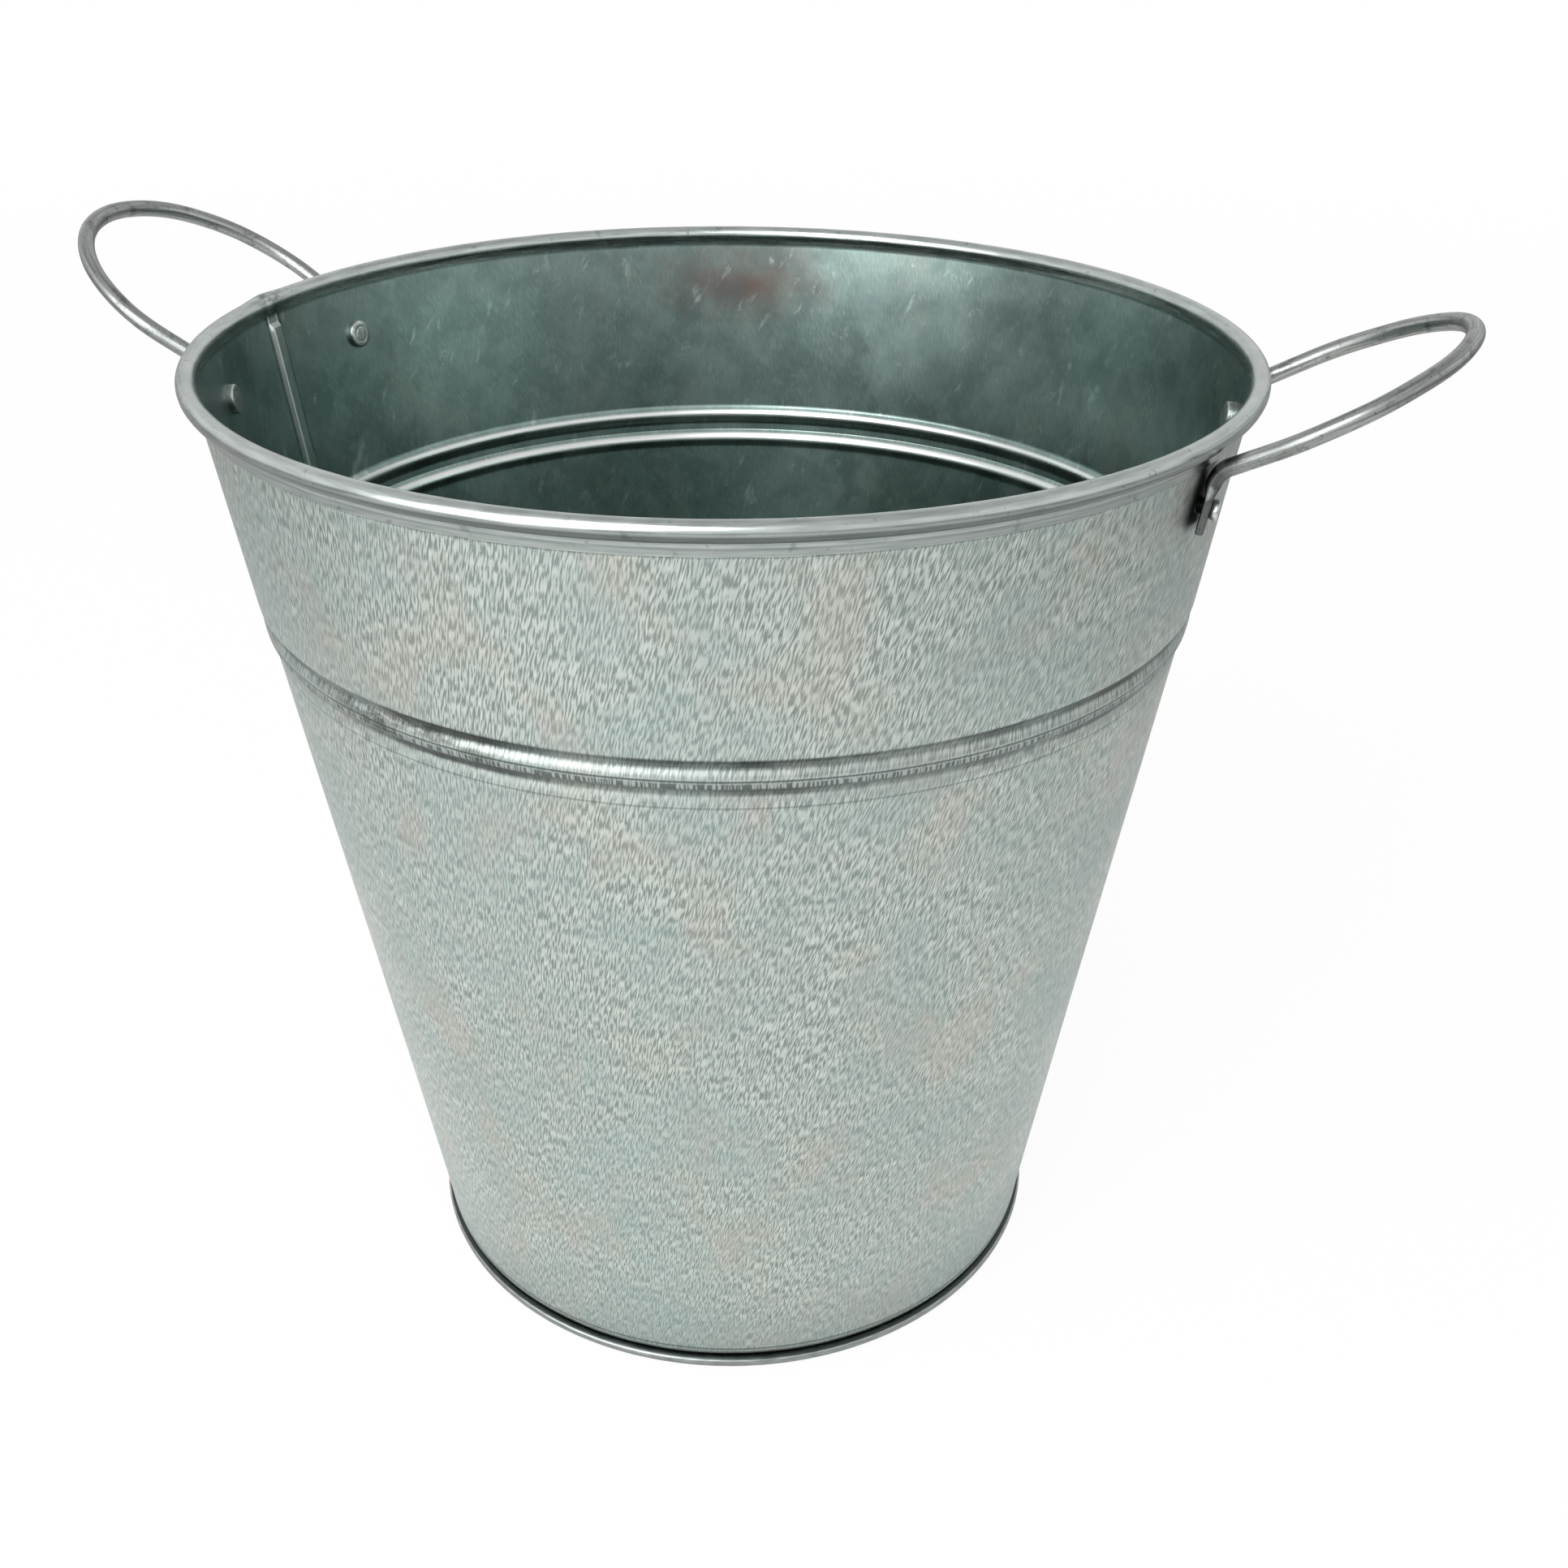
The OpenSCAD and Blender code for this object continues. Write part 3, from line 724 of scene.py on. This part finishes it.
def handle(side, mat):
    rows = handle_rows(RISE[side])
    turn = Matrix.Rotation(TURN[side], 3, "Z")
    rng = np.random.RandomState(31 if side == "left" else 37)
    phase = rng.uniform(0, 2 * pi, 6)
    n, count = 36, len(rows)
    grid = np.zeros((count, n, 3))
    t = np.linspace(0, 2 * pi, n, endpoint=False)
    last = None
    for i, (p, f, guide) in enumerate(rows):
        ahead = (rows[min(i + 1, count - 1)][0] - rows[max(i - 1, 0)][0]).normalized()
        wide = (guide - guide.dot(ahead) * ahead).normalized()
        if last is not None and wide.dot(last) < 0:
            wide = -wide
        last = wide
        deep = ahead.cross(wide)
        # a bent and hand-fitted wire is never dead straight
        sway = (1 - f) * 0.16 * sin(0.21 * i + phase[0]) + (1 - f) * 0.08 * sin(0.53 * i + phase[1])
        half_w = HANDLE_D / 2 - FINE + (TAB_W / 2 + FINE - HANDLE_D / 2) * f
        half_t = HANDLE_D / 2 - FINE + (TAB_T / 2 - HANDLE_D / 2) * f
        power = 2 + 4.5 * f
        c, sn = np.cos(t), np.sin(t)
        x = half_w * np.sign(c) * np.abs(c) ** (2 / power)
        y = half_t * np.sign(sn) * np.abs(sn) ** (2 / power)
        mid = p + deep * sway * 0.45
        grid[i] = np.array(mid) + x[:, None] * np.array(wide) + y[:, None] * np.array(deep)
    ends = []
    for i in (0, count - 1):                              # square-cut ends with a rubbed edge
        mid = grid[i].mean(0)
        ends.append(mid + (grid[i] - mid) * 0.93)
    rings = np.concatenate([ends[0][None], grid, ends[1][None]])
    for i, j, k in ((0, 1, 2), (count + 1, count, count - 1)):
        out = rings[j].mean(0) - rings[k].mean(0)
        rings[i] += out / np.linalg.norm(out) * 0.15
        rings[j] -= out / np.linalg.norm(out) * 0.15
    rings = rings @ np.array(turn).T
    faces = tube_faces(count + 2, n)
    obj = mesh_object("wire_handle_" + side, rings.reshape(-1, 3), faces, [mat], sharp=40)
    run = np.concatenate([[0], np.cumsum(np.linalg.norm(np.diff(rings.mean(1), axis=0), axis=1))])
    uv = obj.data.uv_layers.new(name="run")
    corner = np.zeros(len(obj.data.loops), np.int32)
    obj.data.loops.foreach_get("vertex_index", corner)
    run = np.minimum(run, run[-1] - run)
    round_mm = np.abs((corner % n) / n * 2 - 1) * pi * HANDLE_D / 2      # mirrored, so that no join shows
    uv.data.foreach_set("uv", np.stack([round_mm, run[corner // n]], 1).reshape(-1).astype(np.float32))
    drill(obj, side)
    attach(obj, "root")
    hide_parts("handle_" + side)


def rivet_frame(side, s):
    """Where a rivet sits: its middle on the wall's outer face and its Z pointing out."""
    z, y = out_dir(s), up_dir(s)
    x = y.cross(z)
    m = Matrix((x, y, z)).transposed().to_4x4()
    m.translation = rivet_mid(s) * MM
    return Matrix.Rotation(TURN[side], 4, "Z") @ m


def drill(obj, side):
    """Cuts the two rivet holes through the flat ends."""
    n = 40
    t = np.linspace(0, 2 * pi, n, endpoint=False)
    ring = (RIVET_D / 2 + HOLE_GAP) * np.stack([np.cos(t), np.sin(t)], 1)
    verts = np.vstack([np.column_stack([ring, np.full(n, z)]) for z in (-1.0, TAB_T + 2)])
    for s in (1, -1):
        tool = mesh_object("drill", verts, tube_faces(2, n), [])
        tool.matrix_world = rivet_frame(side, s)
        cut = obj.modifiers.new("hole", "BOOLEAN")
        cut.operation, cut.solver, cut.object = "DIFFERENCE", "EXACT", tool
        bpy.context.view_layer.update()
        done = bpy.data.meshes.new_from_object(obj.evaluated_get(bpy.context.evaluated_depsgraph_get()))
        obj.modifiers.clear()
        obj.data = done
        bpy.data.objects.remove(tool)
    obj.data.set_sharp_from_angle(angle=radians(40))


# ---- Rivets ----

def rivet(side, s, where, mat, seed):
    """Low domed head with its ring mark inside, and a hammered end outside."""
    under = -SHEET / cos(LEAN) - SEAT_GAP
    top = SEAT_GAP + TAB_T + TAB_W / 2 * sin(TAB_TWIST)
    r, cap = HEAD_D / 2, CAP_D / 2
    profile = np.vstack([
        [[0.02, under - HEAD_T], [1.5, under - HEAD_T + 0.01], [1.9, under - HEAD_T + 0.04],
         [2.1, under - HEAD_T + 0.10], [2.3, under - HEAD_T + 0.05], [2.8, under - HEAD_T + 0.05]],
        arc((r - 0.5, under - HEAD_T + 0.62), 0.5, -80, 0, 7),
        [[r, under], [RIVET_D / 2, under], [RIVET_D / 2, top], [cap - 0.35, top], [cap - 0.1, top + 0.35],
         [cap, top + 0.9], [cap, top + 1.35]],
        arc((cap - 0.8, top + CAP_T - 0.85), 0.8, 10, 84, 7),
        [[0.9, top + CAP_T - 0.03], [0.02, top + CAP_T - 0.10]]])
    n, m = 48, len(profile)
    rng = np.random.RandomState(seed)
    phase = rng.uniform(0, 2 * pi, 4)
    t = np.linspace(0, 2 * pi, n, endpoint=False)
    grid = np.zeros((m, n, 3))
    for i, (pr, pz) in enumerate(profile):
        hit = float(smooth(pz, top + 0.2, top + CAP_T))
        rr = pr * (1 - hit * 0.05 * (1 + np.sin(3 * t + phase[0]) * 0.6 + np.sin(5 * t + phase[1]) * 0.4))
        zz = pz - hit * 0.12 * (1 + np.sin(2 * t + phase[2])) * (pr / cap)
        lean = (pz >= top) * tan(TAB_TWIST) * s         # the hammered end lies flat on the turned flat end
        grid[i] = np.stack([rr * np.cos(t), rr * np.sin(t), zz + lean * rr * np.cos(t)], 1)
    faces = tube_faces(m, n)
    obj = mesh_object("rivet_" + side + "_" + where + "_set", grid.reshape(-1, 3), faces, [mat], sharp=50)
    obj.data.transform(rivet_frame(side, s))
    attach(obj, "root")
    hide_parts("rivet_" + side + "_" + where)


# ---- Stage: floor, world, lamps and camera ----

def stage_floor():
    """A wide pale floor that shows white and keeps the bucket's soft shadow."""
    bpy.ops.mesh.primitive_plane_add(size=40, location=(0, 0, 0))
    floor = bpy.context.object
    floor.name = "floor"
    mat, t = new_material("pale_floor")
    paths = add(t, "ShaderNodeLightPath")
    # the metal sees a lit table in front of the bucket, dimmer behind it and beyond its edge
    spot = add(t, "ShaderNodeTexCoord").outputs["Object"]
    ground = add(t, "ShaderNodeVectorMath", {0: spot, 1: (-0.03, 0.28, 0.0)}, operation="ADD").outputs[0]
    far = add(t, "ShaderNodeVectorMath", {0: ground}, operation="LENGTH").outputs["Value"]
    plain = spread(t, far, 0.7, 2.5, 0.93, 1.0)      # so that no horizon shows where the backdrop begins
    seen = calc(t, "MAXIMUM", calc(t, "MULTIPLY", paths.outputs["Is Camera Ray"], plain),
                calc(t, "MULTIPLY", calc(t, "MAXIMUM", paths.outputs["Is Glossy Ray"],
                                         paths.outputs["Is Transmission Ray"]), 0.45))
    lit = calc(t, "MAXIMUM", spread(t, far, 0.36, 1.2, 1.0, 0.42), paths.outputs["Is Camera Ray"])
    matt = add(t, "ShaderNodeBsdfDiffuse", {"Color": blend(t, lit, (0, 0, 0, 1), linear("#F4F4F2"))})
    glow = add(t, "ShaderNodeEmission", {"Color": (1, 1, 1, 1), "Strength": lit})
    mix = add(t, "ShaderNodeMixShader", {0: seen, 1: matt.outputs[0], 2: glow.outputs[0]})
    add(t, "ShaderNodeOutputMaterial", {"Surface": mix.outputs[0]})
    floor.data.materials.append(mat)


def world_light():
    """White behind the bucket; its light is a plain soft room, dim low down, overhead and behind."""
    world = bpy.data.worlds.new("soft_room")
    bpy.context.scene.world = world
    world.use_nodes = True
    t = world.node_tree
    t.nodes.clear()
    direction = add(t, "ShaderNodeTexCoord").outputs["Generated"]
    part = add(t, "ShaderNodeSeparateXYZ", {0: direction})
    high = part.outputs["Z"]
    rise = spread(t, high, -0.04, 0.14, 0.45, 1.03)
    level = calc(t, "SUBTRACT", rise, spread(t, high, 0.45, 0.9, 0.0, 0.38))
    level = calc(t, "MULTIPLY", level, spread(t, part.outputs["Y"], 0.0, 0.8, 1.0, 0.80))
    seen = add(t, "ShaderNodeLightPath").outputs["Is Camera Ray"]
    room = add(t, "ShaderNodeBackground", {"Color": (1, 1, 1, 1), "Strength": level})
    white = add(t, "ShaderNodeBackground", {"Color": (1, 1, 1, 1), "Strength": 1.0})
    mix = add(t, "ShaderNodeMixShader", {0: seen, 1: room.outputs[0], 2: white.outputs[0]})
    add(t, "ShaderNodeOutputWorld", {"Surface": mix.outputs[0]})


def lamp(name, place, aim, size, power):
    light = bpy.data.lights.new(name, "AREA")
    light.shape, light.size, light.energy = "DISK", size, power
    obj = bpy.data.objects.new(name, light)
    obj.location = place
    obj.rotation_euler = (Vector(aim) - Vector(place)).to_track_quat("-Z", "Y").to_euler()
    bpy.context.scene.collection.objects.link(obj)


def camera():
    """Held close, a little above the rim, to the right handle's side of the front."""
    heading, dip, roll = 15.55, 34.55, 0.50                # in degrees
    cam = bpy.data.cameras.new("camera")
    cam.lens, cam.sensor_width = 37.61, 36.0
    cam.shift_x, cam.shift_y = 0.0045, 0.1003
    obj = bpy.data.objects.new("camera", cam)
    turn = Matrix.Rotation(radians(heading), 4, "Z")
    tilt = Matrix.Rotation(radians(90 - dip), 4, "X") @ Matrix.Rotation(radians(roll), 4, "Z")
    obj.matrix_world = Matrix.Translation((0.1361, -0.4342, 0.4063)) @ turn @ tilt
    bpy.context.scene.collection.objects.link(obj)
    bpy.context.scene.camera = obj


def build():
    outer = zinc_sheet("zinc_sheet_outside", "#C8CFC9", "#87928D", "#9FB2B1", "#BAAFA5", 0.40, marks=True)
    inner = zinc_sheet("zinc_sheet_inside", "#ABBDB9", "#8C9E9A", "#869C9A", "#9A9F98", 0.33,
                       streak=0.35, blotch=0.30, relief=0.0, stain=True)
    low = zinc_sheet("zinc_sheet_bottom", "#A6B2AE", "#8C9895", "#8FA09E", "#9DA09A", 0.40, level=True)
    fold = zinc_fold()
    rolled = zinc_rim()
    wire = drawn_wire()
    plug = zinc_wire("zinc_wire_rivet", "#C6CBC8", "#9CA19F", 0.32)
    hidden = zinc_wire("zinc_wire_rim", "#A0A4A1", "#74797A", 0.40)
    wall([outer, inner, rolled])
    bottom([low, fold])
    for side in ("left", "right"):
        handle(side, wire)
    for seed, (side, s, where) in enumerate((("left", 1, "front"), ("left", -1, "back"),
                                             ("right", -1, "front"), ("right", 1, "back"))):
        rivet(side, s, where, plug, 51 + seed)
    for node, mat in (("rim_wire", hidden), ("seam_seal", seal_compound())):
        NODES[node].data.materials.clear()
        NODES[node].data.materials.append(mat)


build()
stage_floor()
world_light()
lamp("window_lamp", (-0.15, -1.45, 1.55), (0, 0, 0.2), 1.3, 15)
lamp("low_window_lamp", (-0.80, -1.60, 0.90), (0, 0.1, 0.22), 1.9, 20)
camera()
bpy.context.scene.view_settings.view_transform = "Standard"
